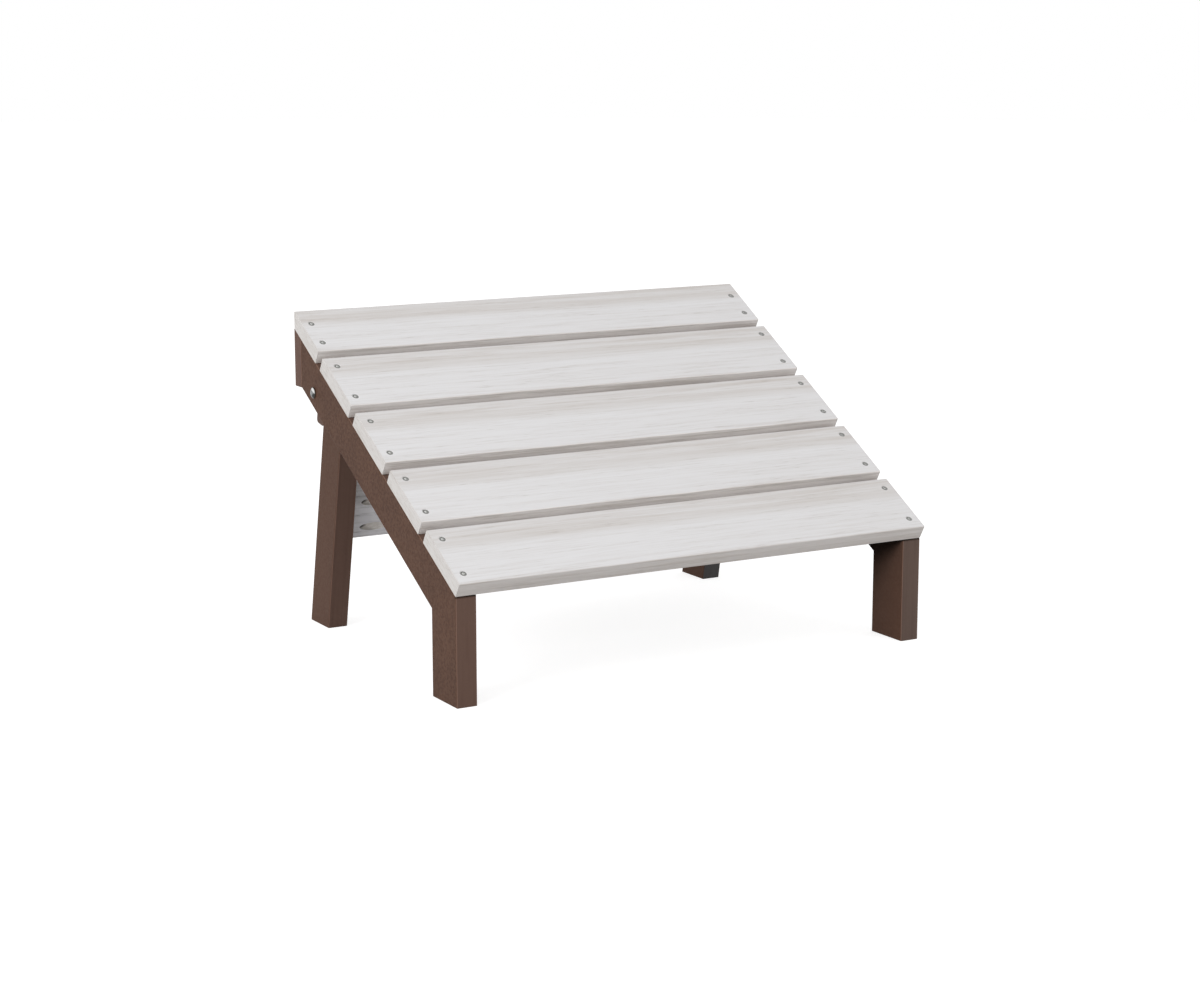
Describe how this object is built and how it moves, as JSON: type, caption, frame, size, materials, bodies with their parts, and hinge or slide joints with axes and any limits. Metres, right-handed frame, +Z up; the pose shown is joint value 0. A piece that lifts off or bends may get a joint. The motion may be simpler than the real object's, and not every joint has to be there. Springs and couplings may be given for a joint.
{
  "type": "folding footrest",
  "caption": "Slatted footrest with a sloping deck on dog-leg side panels and a rear leg frame that swings open against the back apron or folds flat.",
  "frame": {"origin": "on the ground, in the middle of the bounding box of the footrest with its rear legs open", "axes": "+Z up, +X across the slats, +Y towards the high end of the slats"},
  "size_m": [0.6168, 0.4554, 0.3826],
  "materials": {
    "slat_board": "off-white poly lumber with a fine streaked lengthwise grain, low sheen",
    "brown_board": "brown poly lumber, faintly mottled, low sheen",
    "stainless": "polished stainless steel"
  },
  "bodies": {
    "frame": {"slat_5": "slat_board", "slat_5_screws": "stainless", "slat_4": "slat_board", "slat_4_screws": "stainless", "slat_3": "slat_board", "slat_3_screws": "stainless", "slat_2": "slat_board", "slat_2_screws": "stainless", "slat_1": "slat_board", "slat_1_screws": "stainless", "side_left": "brown_board", "side_right": "brown_board", "back_apron": "brown_board", "apron_screws": "stainless", "pivot_bolt_left": "stainless", "pivot_bolt_right": "stainless", "spacer_left": "stainless", "spacer_right": "stainless", "washer_left": "stainless", "washer_right": "stainless", "lock_nut_left": "stainless", "lock_nut_right": "stainless"},
    "rear_leg_frame": {"rear_leg_left": "brown_board", "rear_leg_right": "brown_board", "stop_board": "brown_board", "stop_screws": "stainless", "stretcher": "slat_board", "pocket_screws": "stainless"}
  },
  "joints": [
    {"name": "rear_leg_fold", "type": "hinge", "parent": "frame", "child": "rear_leg_frame", "pos_m": [0, 0.14417, 0.29273], "axis": [1, 0, 0], "range_deg": [-72.82, 0]}
  ]
}
